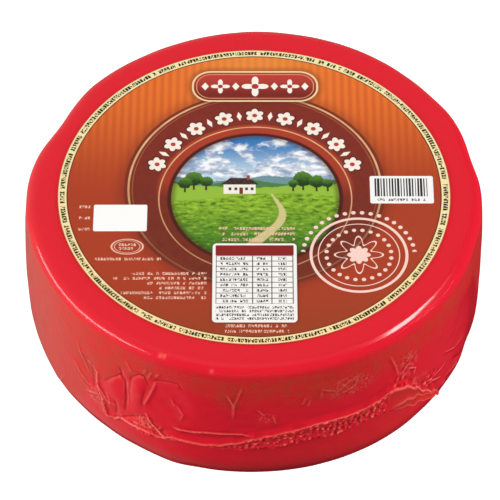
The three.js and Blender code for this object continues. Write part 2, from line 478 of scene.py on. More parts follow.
def swell(azimuth, height):  # how far the side stands off a plain cylinder, in mm
    level = 2 * height / (wheel["height"] / mm) - 1
    return wheel["bulge"] / mm * (1 - level**2) + broadRelief(azimuth, height)


def shapeWheel(piece):
    place = points(piece) / mm
    radius = np.hypot(place[:, 0], place[:, 1])
    azimuth = crowdFront(np.degrees(np.arctan2(place[:, 0], -place[:, 1])))
    height = place[:, 2]
    lift = 1 - np.clip(1 - height / (wheel["baseRound"] / mm), 0, 1) ** 2
    flatEnd = (wheel["radius"] - wheel["topRound"]) / mm
    lift = lift * np.clip(radius / flatEnd, 0, 1) ** wheel["capFade"]
    top = wheel["height"] / mm
    start, end, gone = folds["calm"]
    relief = foldRelief(azimuth, height) * (1 - gone * ease(height, top - start, top - end))
    setPoints(piece, radius + (swell(azimuth, height) + relief) * lift, azimuth, height)
    return azimuth, height


# The film's paint, in shader colours
film = {
    "clear": ((0.58, 0.008, 0.020), (0.51, 0.011, 0.021)),  # the two reds of tight film
    "clearMix": 0.4,
    "dull": ((0.42, 0.028, 0.018), (0.53, 0.013, 0.014)),  # the two reds of hazy film
    # what tints them, and how far: painted shade in hollows, whitened crests with painted highlights,
    # crinkles, and painted shade at the wheel's foot
    "hollowShade": ((0.22, 0.002, 0.005), 0.7),
    "paleAndHighlight": ((0.90, 0.19, 0.15), 0.75),
    "crinkle": ((0.90, 0.20, 0.15), 0.4),
    "base": ((0.14, 0.003, 0.006), 0.1),
    "slant": (0.3, -0.64, -0.7),  # the way the haze is drawn out in streaks, in the piece's own axes
    "drawnOut": 0.88,
    "roughness": 0.15,
    "roughened": {"haze": 0.18, "base": 0.5, "paleAndHighlight": 0.15},
    "grain": (0.7, 0.02),  # how rough the bump is on hazy film, and everywhere
    "crinkleBump": 0.5,
    "bump": {"Strength": 0.5, "Distance": 0.0005},
}


def makeFilm():
    paint = Recipe("red_film")
    place = paint.place()
    attributes = [paint.node("ShaderNodeAttribute", {"attribute_name": name}, {}, "Fac") for name in tones]
    haze, paleAndHighlight, hollowShade, crinkle, base = attributes
    mottle = paint.noise(paint.place(z=0.45), scale=0.3, detail=5, roughness=0.7, distortion=0.6)
    slant = film["slant"]
    onward = paint.vector("DOT_PRODUCT", place, slant, "Value")
    streaked = paint.vector("ADD", place, paint.vector("SCALE", slant, onward * -film["drawnOut"]))
    streaks = paint.noise(streaked, scale=0.55, detail=3, roughness=0.6, distortion=0.4)
    tint = paint.mix(paint.ease(mottle, 0.35, 0.7) * film["clearMix"], *film["clear"])
    dull = paint.mix(paint.ease(mottle * 0.5 + streaks * 0.5, 0.38, 0.62), *film["dull"])
    tint = paint.mix(haze, tint, dull)

    def stain(amount, name):
        colour, most = film[name]
        return paint.mix(amount * most, tint, colour)

    # Painted shade in the hollows beside the folds, where the film also lies doubled
    tint = stain(hollowShade, "hollowShade")
    # Whitened crests, with a painted highlight along each
    tint = stain(paleAndHighlight, "paleAndHighlight")
    honeycomb = {"Vector": place, "Scale": 0.42}
    cells = paint.node("ShaderNodeTexVoronoi", {"feature": "DISTANCE_TO_EDGE"}, honeycomb)
    strokes = paint.noise(paint.place(z=0.6), scale=0.42, detail=2, roughness=0.55, distortion=1.2)
    strokes = abs(strokes - 0.5)
    # thin strokes where the film is loosely crinkled, and the walls of its pressed cells
    lines = paint.ease(strokes, 0.035, 0.008) * paint.ease(crinkle, 0.12, 0.5)
    lines = lines.math("MAXIMUM", paint.ease(cells, 0.13, 0.02) * paint.ease(crinkle, 0.72, 0.9))
    tint = stain(lines, "crinkle")
    # Painted shade at the wheel's foot, near the floor
    tint = stain(base, "base")
    hazeGrain, allGrain = film["grain"]
    fine = paint.noise(place, scale=0.8, detail=4, roughness=0.6, distortion=0.4)
    fine = fine * (haze * hazeGrain + allGrain) + lines * film["crinkleBump"]
    bump = paint.node("ShaderNodeBump", {}, {"Height": fine, **film["bump"]})
    more = film["roughened"]
    rough = (film["roughness"] + haze * more["haze"] + base * more["base"] + paleAndHighlight * more["paleAndHighlight"]).clip()
    return paint.finish(Base_Color=tint, Roughness=rough, Normal=bump)


def setTone(piece, name, values):
    tone = piece.data.attributes.new(name, "FLOAT", "POINT")
    tone.data.foreach_set("value", np.clip(values, 0, 1).astype(np.float32))


def dress(piece):
    piece.data.materials.clear()
    piece.data.materials.append(redFilm)
    for face in piece.data.polygons:
        face.use_smooth = True
    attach(piece, "root")
    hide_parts("wrapped_wheel")


def hazeOf(azimuth, height):
    ragged = uneven(azimuth, height, toning["ragged"])
    edge = along(toning["hazeEdge"], azimuth)
    below, above = toning["hazeStart"]
    side, spread = toning["leftSide"]
    leftSide = bell(turn(side, azimuth), spread)
    end, full = (level + more * leftSide for level, more in toning["hazeTop"])
    hazy = ease(height + ragged, edge + below, edge + above)
    hazy = hazy * ease(height + toning["raggedTop"] * ragged, end, full)
    start, most, share = toning["hazeUnder"]
    underSeam = along(seam["height"], azimuth) - height
    return np.maximum(hazy, share * ease(underSeam, start, most))


def makeWheel():
    piece = makeWheelBlank()
    azimuth, height = shapeWheel(piece)
    bend = foldBend(azimuth, height)
    honeycomb, *loose = [spot(azimuth, height, *place) for place in toning["crinkled"]]
    specks = sum(spot(azimuth, height, *place, *toning["speckSize"]) for place in toning["specks"])
    specks = toning["speckTone"] * specks * (height < wheel["height"] / mm - toning["speckEdge"])
    setTone(piece, "haze", hazeOf(azimuth, height))
    # Crests are whitened and given painted highlights, and hollows get painted shade
    setTone(piece, "paleAndHighlight", np.maximum(-bend / toning["palest"] - toning["paleFrom"], specks))
    setTone(piece, "hollowShade", bend / toning["deepest"] - toning["deepFrom"])
    setTone(piece, "crinkle", np.maximum(honeycomb, np.minimum(sum(loose), toning["looseMost"])))
    # The base tone is painted shade near the floor
    setTone(piece, "base", ease(height, *toning["foot"]))
    dress(piece)


# The gathered edge of the film, hanging under the seam
hem = {
    "turn": (-36, 54),
    "columns": 700,
    "rows": 26,
    "thick": 0.25 * mm,
    # stations of azimuth and mm: how far it hangs, how far its edge stands off, and how deep it is gathered
    "drop": [(-36, 0.8), (-33, 2), (-27, 3), (-21, 1.5), (-12, 2), (-6, 4.5), (0, 7), (6, 9.5), (11, 8),
             (16, 10), (22, 10), (27.5, 8.5), (32, 10), (36, 14.5), (41, 13), (46, 6), (51, 2.5), (54, 0.8)],
    "lift": [(-37, 0.2), (-27, 0.9), (-20, 0.4), (-8, 0.7), (0, 1.2), (20, 1.3), (34, 1.5), (44, 2.4),
             (51, 2.4), (54, 0.8)],
    "depth": [(-36, 0.2), (-28, 0.4), (-20, 0.1), (-8, 0.1), (2, 0.45), (31, 0.5), (37, 0.05), (54, 0.05)],
    "above": 0.3,  # mm by which it starts over the seam
    "proud": 0.15,  # mm by which it starts past the seam's crest
    "sag": 0.55,  # mm by which it sinks in halfway down
    "least": 0.05,  # mm that it keeps off the side
    "pleat": 2.7,  # mm from pleat to pleat
    "pleatLean": 1.6,  # how far the pleats lean on their way down, in radians
    "wander": [(0.9, 11, 10, 7)],  # a layer, as in the wheel, that shifts them
    "scallop": 0.15,  # mm by which they draw the lower edge up and down
    "ragged": [(0.07, 13, 12, 4)],  # a layer that makes that edge uneven, as a share of the drop
    "crumple": (15, 26, 1.7),  # seed, waves and finest length of the crumples
    "relief": (0.15, 0.65),  # the pleats' and the crumples' shares of the depth
    "ridges": (0.15, 0.85),  # their shares in the tones: the painted highlights on crests and painted shade in hollows
    "fullDepth": 0.5,
    # the smooth loose end, to the right of the pleats
    "flap": (33, 39),  # azimuths between which it begins
    "flapCalm": 0.8,  # how much evener its edge is
    # a fold that runs up across it, with a painted highlight along it and painted shade under it
    "flapFold": {"from": 0.88, "climb": 0.042, "at": 35, "rise": 0.3, "width": 0.09, "shade": (0.14, 0.12)},
}


def sideRadius(azimuth, height):  # the wheel's side without its folds, in mm
    base = wheel["baseRound"] / mm
    under = np.clip(base - height, 0, base)
    plain = wheel["radius"] / mm - base + np.sqrt(base**2 - under**2)
    return plain + swell(azimuth, height) * (1 - (under / base) ** 2)


def makeHem():  # the gathered edge hangs from the seam in small uneven pleats
    bpy.ops.mesh.primitive_grid_add(x_subdivisions=hem["columns"], y_subdivisions=hem["rows"], size=2)
    piece = bpy.context.object
    piece.name = "film_hem"
    settle(piece)
    place = points(piece)
    start, end = hem["turn"]
    azimuth = start + (place[:, 0] + 1) / 2 * (end - start)
    down = (1 - place[:, 1]) / 2
    flat = np.zeros_like(azimuth)
    flap = ease(azimuth, *hem["flap"])
    run = np.radians(azimuth) * filmReach
    phase = run / hem["pleat"] + uneven(azimuth, flat, hem["wander"])
    pleat = np.sin(2 * math.pi * phase + hem["pleatLean"] * down)
    ragged = (1 - hem["flapCalm"] * flap) * uneven(azimuth, flat, hem["ragged"])
    drop = along(hem["drop"], azimuth) * (1 + ragged) + hem["scallop"] * pleat * down * (1 - flap)
    height = along(seam["height"], azimuth) + hem["above"] - drop * down
    crumple = wobble(azimuth, height, *hem["crumple"])
    crest = along(seam["crest"], azimuth) + hem["proud"]
    lift = along(hem["lift"], azimuth)
    depth = along(hem["depth"], azimuth) * (1 - flap)
    stand = crest + (lift - crest) * down - hem["sag"] * np.sin(math.pi * down) * np.clip(lift, 0, 1)
    pleats, crumples = hem["relief"]
    stand += depth * (pleats * pleat + crumples * crumple) * np.clip(down * 3, 0, 1)
    fold = hem["flapFold"]
    slant = down - fold["from"] + fold["climb"] * (azimuth - fold["at"])
    stand += fold["rise"] * bell(slant, fold["width"]) * flap
    setPoints(piece, sideRadius(azimuth, height) + np.maximum(stand, hem["least"]), azimuth, height)
    pleats, crumples = hem["ridges"]
    toneHem(piece, down, flap, slant, depth / hem["fullDepth"], crumples * crumple + pleats * pleat)
    bpy.ops.object.modifier_add(type="SOLIDIFY")
    piece.modifiers[0].thickness = hem["thick"]
    piece.modifiers[0].offset = 0
    bpy.ops.object.modifier_apply(modifier=piece.modifiers[0].name)
    dress(piece)


def toneHem(piece, down, flap, slant, gathered, ridge):  # crests are whitened and given painted highlights, and hollows get painted shade
    # The top edge, and the flap's lower edge, are whitened with a painted highlight
    edges = np.maximum(ease(down, 0.1, 0.0), ease(down, 0.93, 1) * flap)
    crests = (ridge * 1.1 - 0.75) * gathered
    # Painted shade between the pleats, and a band of painted shadow under the seam's crest
    hollows = (0.02 - ridge * 0.3 + 0.15 * bell(down - 0.22, 0.16)) * gathered
    behind, width = hem["flapFold"]["shade"]
    setTone(piece, "haze", 0.15 + 0.75 * flap)
    # Along the flap's fold a painted highlight, and under it painted shade
    setTone(piece, "paleAndHighlight", edges * 0.7 + crests + 0.45 * bell(slant, 0.05) * flap)
    setTone(piece, "hollowShade", hollows + 0.3 * bell(slant - behind, width) * flap)
    setTone(piece, "crinkle", 0.3 * gathered)
    setTone(piece, "base", np.zeros_like(down))


redFilm = makeFilm()
makeWheel()
print("wheel shaped")
makeHem()
print("hem hung")


# The label. Its print is worked out in mm from its centre: x to the right, y away from the front.
label = {
    "radius": labelHigh.x,
    "low": labelLow.z,
    "high": labelHigh.z,
    "sides": 256,
    "edge": 0.12 * mm,
    "capRings": (2 * mm, 6 * mm, 30 * mm),
    "gain": 0.73,  # how strongly the inks are laid, against the brightness of the lights
}
border = {"inner": 83.7, "outer": 88, "line": 0.5, "row": 85.85, "markHeight": 2.1, "pitch": 1.45}
band = {"centre": (0.3, 2.2), "outer": 58.5, "shadow": 6}
blossoms = {"centre": (0.3, -1), "radius": 47.3, "count": 21, "size": 2.75, "petal": 1.5, "heart": 1.15,
            "end": 1.35, "lozenge": 1.75, "lozengeEnd": 1.2}  # the ends are in radians from the top
picture = {
    "centre": (0.5, -4),
    "radius": 37.5,
    "horizon": 5,
    # hills from far to near: height over the horizon, swell, its length, shift, ripple, its length, colour
    "hills": [(2.6, 1.7, 8.5, 0.4, 0.9, 3.1, (112, 150, 158)), (0.6, 1.5, 6.2, 2.1, 0.5, 2.2, (78, 126, 76)),
              (-1.8, 1.3, 11, 5.0, 0.3, 1.7, (150, 190, 62))],
    "trees": [(-27, 7.5, 4.2), (-21.5, 6, 3), (-31, 5, 3.2), (22, 7.5, 4.4), (28, 6, 3.6), (33, 5, 2.6),
              (17.5, 4.6, 2.2)],  # x, y, size
    "trunk": (0.45, 1.6),
}
# The farmhouse in it: walls, door and chimney by middle and half size
house = {"walls": ((-6.5, 1.4), (7.2, 2.9)), "door": ((-5.8, 0.4), (0.8, 1.9)),
         "chimney": ((-2.6, 8.2), (0.7, 1.5)), "windows": (-10.8, -8.2, -3.4, -0.9), "sill": 1.5,
         "window": (0.62, 0.85), "eaves": 4.1, "ridge": 8, "gable": (4.2, 8.6), "steep": 1.15}
plaque = {"centre": (0.5, 64.7), "half": (28.2, 8.8), "round": 8,
          "flowers": ((-16, 4.4), (0, 6.2), (16, 4.4)), "lozenges": (-8.9, 8.9, -23, 23)}
panel = {
    "centre": (0.2, -53.2),
    "half": (18.5, 22.5),
    "round": 1.9,
    "head": (4.1, 3.0),  # how far its middle lies under the panel's top, and its half height
    "table": 7.2,  # how far the table starts under that top
    "rows": 9,
    "row": 3.04,
    "rules": (-16.7, -0.7, 7.7, 17),
    "cells": ((-8.7, 6.2), (3.6, 2.6), (12.4, 1.8)),  # middle and half width of the marks in each column
    "notes": (5.1, 4.2, 2.1),  # the rows under the table: how far down, half height and pitch
}
box = {"at": (-59.5, -15.8), "half": (11.9, 7.8)}
oval = {"at": (-56, -32.6), "squeeze": 0.62, "lines": ((4.3, 0.5), (3.5, 0.22)), "inner": 3.0}
bars = {"at": (66.1, 1), "half": (14.2, 8.2), "raise": 1.4, "field": (12.2, 5.4), "pitch": 1.28}
medallion = {"centre": (46.1, -37.3), "radius": 21.1, "stroke": 1.3, "inner": 3.2, "star": (8.2, 2.4),
             "heart": (3.6, 1.6), "beads": ((14.3, 24, 0.95), (24.6, 40, 1.0)), "beadEnd": 1.5}
# Blocks of small marks: left, right, top, bottom, the rows' pitch and height, and how uneven their starts are
smallMarks = [
    ((-63, -20.7, -46.7, -63.2), 2.75, 1.5, 22),
    ((-78.6, -73, -6, -25.6), 6.55, 1.6, 1.5),
    ((-19, 18, -20.4, -30), 3.2, 1.6, 6),
    ((-15, 15, -76.1, -82.1), 3, 1.6, 3),
    ((-70, -41, -38.5, -41), 2.5, 1.5, 0),
]


def ink(red, green, blue):  # a print colour of 0 to 255 as a shader colour
    def linear(value):
        share = value / 255
        return share / 12.92 if share <= 0.04045 else ((share + 0.055) / 1.055) ** 2.4
    return tuple(label["gain"] * linear(value) for value in (red, green, blue))


class Print(Recipe):  # a material painted layer by layer
    def __init__(self, name):
        super().__init__(name)
        place = self.place()
        self.x, self.y = self.split(place, "XY")
        self.flat = self.vector("MULTIPLY", place, (1, 1, 0))

    def reach(self, centre):
        return self.vector("DISTANCE", self.flat, (*centre, 0), "Value")

    def angle(self, centre):  # radians, 0 straight up and growing to the right
        return (self.x - centre[0]).math("ARCTAN2", self.y - centre[1])

    def length(self, across, up):
        return (across * across + up * up).math("SQRT")

    def disc(self, centre, radius):  # signed distance to a circle
        return self.reach(centre) - radius

    def box(self, centre, half, corner):  # signed distance to a rounded box
        offset = self.vector("ABSOLUTE", self.vector("SUBTRACT", self.flat, (*centre, 0)))
        beyond = self.vector("SUBTRACT", offset, (half[0] - corner, half[1] - corner, 0))
        return self.vector("LENGTH", self.vector("MAXIMUM", beyond, (0, 0, 0)), None, "Value") - corner

    def inside(self, distance, soft=0.16):  # 1 inside a shape and 0 outside it
        return self.ease(distance, soft / 2, -soft / 2)

    def paint(self, mask, colour):
        self.colour = self.mix(mask, self.colour, colour)

    def draw(self, distance, width, colour):  # a line along a shape's edge
        self.paint(self.inside(abs(distance) - width / 2), colour)

    def random(self, cell):
        return self.node("ShaderNodeTexWhiteNoise", {"noise_dimensions": "1D"}, {"W": cell})

    # A row of small blocky strokes in cells of three. Cells and strokes are left blank at random, and the odd
    # factors make the rows differ.
    def marks(self, run, row, offset, pitch, height, blankCells=0.2, blankStrokes=0.34):
        cells = run / pitch
        cell = self.random(cells.math("FLOOR") + row * 61.7).math("GREATER_THAN", blankCells)
        blocks = (cells * 3).math("FLOOR") + (offset * (3 / height)).math("ROUND") * 17.3 + row * 7.1
        stroke = self.random(blocks).math("GREATER_THAN", blankStrokes)
        place = abs(cells.math("FRACT") - 0.5) * pitch
        return cell * stroke * self.inside(place - pitch * 0.4) * self.inside(abs(offset) - height / 2)

    def lines(self, edges, pitch, height, ragged=0):  # rows of them between left, right, top and bottom
        left, right, top, bottom = edges
        rows = (top - self.y) / pitch
        row = rows.math("FLOOR") + top
        offset = (rows.math("FRACT") - 0.5) * pitch
        start = self.random(row) * ragged + left
        place = self.inside(abs(self.y - (top + bottom) / 2) - (top - bottom) / 2, 0.02)
        place = place * self.inside(start - self.x) * self.inside(self.x - right)
        return self.marks(self.x, row, offset, pitch=1.3, height=height) * place


def paintGround(art):  # orange with fine stripes above, brown below
    height = art.ease(art.y - abs(art.x) * 0.1, -12, 64)
    art.colour = art.mix(height, ink(172, 62, 34), ink(238, 118, 42))
    low = art.ease(art.y, -45, -88)
    art.paint(low, ink(156, 62, 34))
    stripePitch = 3.6
    stripe = (art.x * (2 * math.pi / stripePitch)).math("SINE") * 0.5 + 0.5
    art.paint(stripe * art.ease(art.y, -14, 12) * 0.4, ink(178, 62, 26))
    glow = art.ease(art.reach((0, 76)), 46, 4)
    art.paint(glow * 0.45, ink(244, 160, 72))


def paintBand(art):  # the dark ring of cloth round the picture, with its gold lines
    outer = art.disc(band["centre"], band["outer"])
    shade = art.inside(outer - 1.0, 2 * band["shadow"])
    art.paint(shade * 0.6, ink(84, 34, 22))
    height = art.ease(art.y, -50, 55)
    grain = art.noise(art.place(), scale=0.35, detail=4, roughness=0.6)
    cloth = art.mix(height, ink(100, 38, 24), ink(118, 38, 30))
    art.paint(art.inside(outer), art.mix(grain * 0.35, cloth, ink(170, 66, 44)))
    inner = art.disc(picture["centre"], picture["radius"])
    red = art.inside(inner - 7.2, 1.6) * art.ease(art.y, -6, 8)
    art.paint(red, art.mix(height, ink(150, 50, 34), ink(176, 62, 40)))
    gold = art.mix(art.noise(art.place(), scale=0.12), ink(196, 128, 84), ink(246, 208, 154))
    upper = art.ease(art.y, -38, 12) * 0.85 + 0.15
    art.paint(art.inside(abs(outer + 1.9) - 0.47) * upper, gold)
    art.paint(art.inside(abs(outer + 3.6) - 0.15) * upper, ink(178, 104, 66))
    art.paint(art.inside(abs(inner - 5.6) - 0.3) * (upper * 0.5 + 0.5), gold)
    art.paint(art.inside(abs(inner - 0.9) - 0.9, 0.9), ink(74, 30, 20))


def paintBlossoms(art):  # a row of small flowers and lozenges along the band's upper half
    radius, count = blossoms["radius"], blossoms["count"]
    turnTo = art.angle(blossoms["centre"])
    cell = turnTo * (count / (2 * math.pi))
    across = ((cell + 0.5).math("FRACT") - 0.5) * (2 * math.pi * radius / count)
    out = art.reach(blossoms["centre"]) - radius
    upper = art.inside(abs(turnTo) - blossoms["end"], 0.02)
    petals = (across.math("ARCTAN2", out) * 3).math("COSINE")
    flower = art.length(across, out) - blossoms["size"] - abs(petals) * blossoms["petal"]
    cream = ink(252, 238, 226)
    art.paint(art.inside(flower - 0.7, 0.3) * upper, ink(82, 28, 20))
    art.paint(art.inside(flower) * upper, cream)
    heart = art.length(across, out)
    art.paint(art.inside(heart - blossoms["heart"]) * upper, ink(176, 66, 44))
    between = (cell.math("FRACT") - 0.5) * (2 * math.pi * radius / count)
    lozenge = abs(between) * 1.5 + abs(out) * 0.62
    within = art.inside(abs(turnTo) - blossoms["lozengeEnd"], 0.02)
    art.paint(art.inside(lozenge - blossoms["lozenge"]) * within, cream)


def paintPicture(art):  # low hills, trees and a farmhouse under a summer sky
    level = picture["horizon"]
    sky = art.mix(art.ease(art.y, 31, level), ink(52, 122, 186), ink(196, 224, 240))
    puffs = art.noise(art.place(y=1.5), scale=0.085, detail=5, roughness=0.55, distortion=0.3)
    depth = art.noise(art.place(y=1.8), scale=0.16, detail=4, roughness=0.6)
    cloud = art.mix(art.ease(depth, 0.36, 0.62), ink(146, 164, 196), ink(255, 255, 255))
    cover = art.ease(puffs + art.ease(art.y, 32, 14) * 0.12, 0.5, 0.6)
    scene = art.mix(cover * 0.95, sky, cloud)
    rough = art.noise(art.place(), scale=0.55, detail=3, roughness=0.6)
    for height, swelling, length, shift, ripple, short, colour in picture["hills"]:
        edge = (art.x / length + shift).math("SINE") * swelling
        edge = edge + (art.x / short + shift).math("SINE") * ripple * 0.5 + (level + height)
        scene = art.mix(art.inside(art.y - edge - (rough - 0.5) * 1.6, 0.5), scene, ink(*colour))
    grass = art.noise(art.place(y=2.2), scale=0.32, detail=5, roughness=0.65)
    meadow = art.mix(art.ease(art.y, -2, -34), ink(148, 190, 46), ink(70, 128, 34))
    meadow = art.mix(art.ease(grass, 0.42, 0.7), meadow, ink(56, 104, 26))
    meadow = art.mix(art.ease(grass, 0.44, 0.3) * 0.7, meadow, ink(186, 214, 84))
    far = (art.x / 17 + 0.8).math("SINE") * 2.4 - 3.4  # the meadow's far edge
    scene = art.mix(art.inside(art.y - far, 0.8), scene, meadow)
    # the path swings out and widens as it nears
    bend = (art.y / 7.5).math("SINE") * (art.y * 0.16 - 3.6) + 7
    width = 0.7 - (art.y + 4) * 0.1
    path = art.inside(abs(art.x - bend) - width, 0.7) * art.inside(art.y - far + 0.3, 0.8)
    scene = art.mix(path * 0.85, scene, ink(222, 204, 146))
    for x, y, size in picture["trees"]:
        crown = art.disc((x, y), size) - (rough - 0.5) * 2.6
        light = art.ease(art.y - y + (rough - 0.5) * 5, -size * 0.7, size)
        leaves = art.mix(light, ink(28, 62, 22), ink(86, 134, 44))
        trunk = art.box((x, y - size - 0.8), picture["trunk"], 0.2)
        scene = art.mix(art.inside(trunk), scene, ink(70, 48, 32))
        scene = art.mix(art.inside(crown, 0.4), scene, leaves)
    scene = addHouse(art, scene)
    inner = art.disc(picture["centre"], picture["radius"])
    art.paint(art.inside(inner, 0.3), scene)
    art.paint(art.inside(inner, 0.3) * art.ease(inner, -3.2, 0) * 0.55, ink(60, 30, 20))


def addHouse(art, scene):
    walls = art.box(*house["walls"], 0.2)
    scene = art.mix(art.inside(walls), scene, ink(246, 240, 226))
    for x in house["windows"]:
        window = art.box((x, house["sill"]), house["window"], 0.15)
        scene = art.mix(art.inside(window), scene, ink(58, 62, 78))
    door = art.box(*house["door"], 0.15)
    scene = art.mix(art.inside(door), scene, ink(120, 46, 30))
    level, reach = house["gable"]
    middle = house["walls"][0][0]
    slope = (art.y - level) * house["steep"] + abs(art.x - middle) - reach
    roof = slope.math("MAXIMUM", house["eaves"] - art.y).math("MAXIMUM", art.y - house["ridge"])
    tiles = art.noise(art.place(), scale=1.1)
    tiles = art.mix(art.ease(tiles, 0.4, 0.6), ink(44, 34, 36), ink(82, 56, 50))
    scene = art.mix(art.inside(roof, 0.25), scene, tiles)
    chimney = art.box(*house["chimney"], 0.15)
    return art.mix(art.inside(chimney), scene, ink(150, 76, 54))


def paintPlaque(art):  # a red shield with flowers and lozenges in a row
    x, y = plaque["centre"]
    shape = art.box((x, y), plaque["half"], plaque["round"])
    art.paint(art.inside(shape - 2.4, 5) * 0.6, ink(110, 44, 20))
    art.paint(art.inside(shape - 0.9), ink(246, 216, 168))
    height = art.ease(art.y, y - 6, y + 6)
    art.paint(art.inside(shape), art.mix(height, ink(126, 36, 30), ink(186, 62, 50)))
    art.draw(shape + 1.3, 0.35, ink(236, 170, 120))
    cream = ink(255, 246, 232)
    for across, size in plaque["flowers"]:
        place = (x + across, y)
        petals = (art.angle(place) * 4).math("COSINE")
        flower = art.reach(place) - size * 0.66 - petals * size * 0.34
        art.paint(art.inside(flower), cream)
        art.paint(art.inside(art.disc(place, size * 0.26)), ink(170, 54, 40))
    for across in plaque["lozenges"]:
        lozenge = abs(art.x - x - across) + abs(art.y - y) * 0.7 - 1.7
        art.paint(art.inside(lozenge), cream)


def paintPanel(art):  # a ruled table with plain strokes in its cells
    (middle, level), (wide, tall) = panel["centre"], panel["half"]
    shape = art.box((middle, level), (wide, tall), panel["round"])
    art.paint(art.inside(shape - 0.6, 1.6) * 0.55, ink(60, 26, 18))
    art.paint(art.inside(shape), ink(250, 246, 242))
    top = level + tall
    down, half = panel["head"]
    head = art.box((middle, top - down), (wide - 1.3, half), 0.5)
    art.paint(art.inside(head), ink(140, 34, 34))
    title = art.lines((-17, 17, top - 1.5, top - 6.7), pitch=2.6, height=1.7, ragged=5)
    art.paint(title * art.inside(head + 0.7), ink(255, 226, 214))
    row = panel["row"]
    start = top - panel["table"]
    foot = start - panel["rows"] * row
    table = art.box((middle, (start + foot) / 2), (wide - 1.5, (start - foot) / 2), 0.2)
    rows = (start - art.y) / row
    within = art.inside(table)
    rules = abs((rows + 0.5).math("FRACT") - 0.5) * row
    dark = ink(66, 60, 62)
    offset = (rows.math("FRACT") - 0.5) * row
    marks = art.marks(art.x, rows.math("FLOOR"), offset, pitch=1.25, height=1.5, blankCells=0.12)

    def cell(across, half):
        return art.inside(abs(art.x - across) - half)

    first, second, third = panel["cells"]
    cells = cell(*first) + cell(*second) + cell(*third)
    art.paint(marks * cells.clip() * within, dark)
    art.paint(art.inside(rules - 0.2) * within, ink(96, 88, 90))
    for rule in panel["rules"]:
        art.paint(art.inside(abs(art.x - rule) - 0.22) * within, ink(70, 62, 66))
    down, half, pitch = panel["notes"]
    below = (foot - 0.9 - art.y) / pitch
    row = below.math("FLOOR") + 40
    offset = (below.math("FRACT") - 0.5) * pitch
    notes = art.marks(art.x, row, offset, pitch=1.1, height=1.4, blankCells=0.1)
    place = art.box((middle, foot - down), (wide - 1.6, half), 0.2)
    art.paint(notes * art.inside(place), dark)


def paintNotes(art):  # the small marks round the picture, the blank box, the oval and the bars
    cream = ink(240, 190, 168)
    for edges, pitch, size, ragged in smallMarks:
        art.paint(art.lines(edges, pitch, size, ragged), cream)
    art.paint(art.inside(art.box(box["at"], box["half"], 0.8)), ink(255, 254, 252))
    offset = art.vector("SUBTRACT", art.flat, (*oval["at"], 0))
    offset = art.vector("MULTIPLY", offset, (oval["squeeze"], 1, 0))
    out = art.vector("LENGTH", offset, None, "Value")
    for radius, width in oval["lines"]:
        art.draw(out - radius, width, cream)
    marks = art.lines((-60, -52, -30.4, -34.8), pitch=2.2, height=1.5)
    art.paint(marks * art.inside(out - oval["inner"]), cream)
    art.paint(art.inside(art.box(bars["at"], bars["half"], 0.9)), ink(250, 248, 246))
    bar = art.x / bars["pitch"]
    wide = art.random(bar.math("FLOOR")) * 0.42 + 0.16
    stroke = art.inside(abs(bar.math("FRACT") - 0.5) * bars["pitch"] - wide)
    x, y = bars["at"]
    field = art.box((x, y + bars["raise"]), bars["field"], 0.2)
    art.paint(stroke * art.inside(field), ink(40, 38, 44))
    art.paint(art.lines((55, 77.5, -3.8, -6.2), pitch=2.4, height=1.5) * 0.9, ink(60, 56, 60))


def paintMedallion(art):  # a star in a ring, between rows of beads
    centre = medallion["centre"]
    pink = ink(252, 214, 202)
    ring = art.disc(centre, medallion["radius"])
    art.draw(ring, medallion["stroke"], pink)
    art.draw(ring + medallion["inner"], 0.45, pink)
    turnTo = art.angle(centre)
    out = art.reach(centre)
    size, swing = medallion["star"]
    star = out - size - (turnTo * 8).math("COSINE") * swing
    art.draw(star, 0.9, pink)
    size, swing = medallion["heart"]
    art.paint(art.inside(out - size - abs((turnTo * 4).math("COSINE")) * swing), pink)
    for radius, count, size in medallion["beads"]:
        step = 2 * math.pi * radius / count
        across = ((turnTo * (count / (2 * math.pi))).math("FRACT") - 0.5) * step
        bead = art.length(across, out - radius) - size
        limit = 1 if radius < medallion["radius"] else art.inside(abs(turnTo) - medallion["beadEnd"], 0.02)
        art.paint(art.inside(bead) * limit, pink)


def paintBorder(art):
    out = art.vector("LENGTH", art.flat, None, "Value")
    cream = art.mix(art.ease(art.y, -80, 60), ink(252, 226, 168), ink(248, 232, 176))
    art.paint(art.inside(border["inner"] - out), cream)
    run = art.angle((0, 0)) * border["row"]
    offset = out - border["row"]
    marks = art.marks(run, 90, offset, border["pitch"], border["markHeight"], 0.08, 0.26)
    art.paint(marks, ink(26, 34, 18))
    art.draw(out - border["inner"], border["line"], ink(92, 44, 22))
    art.paint(art.inside(border["outer"] - 0.35 - out), ink(196, 60, 40))


def makePrint():
    art = Print("printed_label")
    layers = (paintGround, paintBand, paintBlossoms, paintPicture, paintPlaque, paintNotes, paintPanel,
              paintMedallion, paintBorder)
    for layer in layers:
        layer(art)
    grain = art.noise(art.place(), scale=1.6, detail=3)
    bump = art.node("ShaderNodeBump", {}, {"Height": grain, "Strength": 0.08, "Distance": 0.0002})
    rough = 0.36 + grain * 0.08
    return art.finish(Base_Color=art.colour, Roughness=rough, Specular_IOR_Level=0.2, Normal=bump)


def makeLabel():
    thick = label["high"] - label["low"]
    bpy.ops.mesh.primitive_cylinder_add(vertices=label["sides"], radius=label["radius"], depth=thick,
                                        location=(0, 0, label["low"] + thick / 2))
    piece = bpy.context.object
    piece.name = "round_label"
    settle(piece)
    edit(piece, "EDGE")
    pick(piece, "edges", lambda e: isAt(e, label["high"]))
    bpy.ops.mesh.bevel(offset=label["edge"], segments=2, affect="EDGES")
    leaveEdit()
    edit(piece, "FACE")
    pick(piece, "faces", isCap)
    for ring in label["capRings"]:
        bpy.ops.mesh.inset(thickness=ring)
    bpy.ops.mesh.poke()
    leaveEdit()
    piece.data.materials.append(makePrint())
    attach(piece, "root")
    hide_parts("label")


makeLabel()
print("label laid")


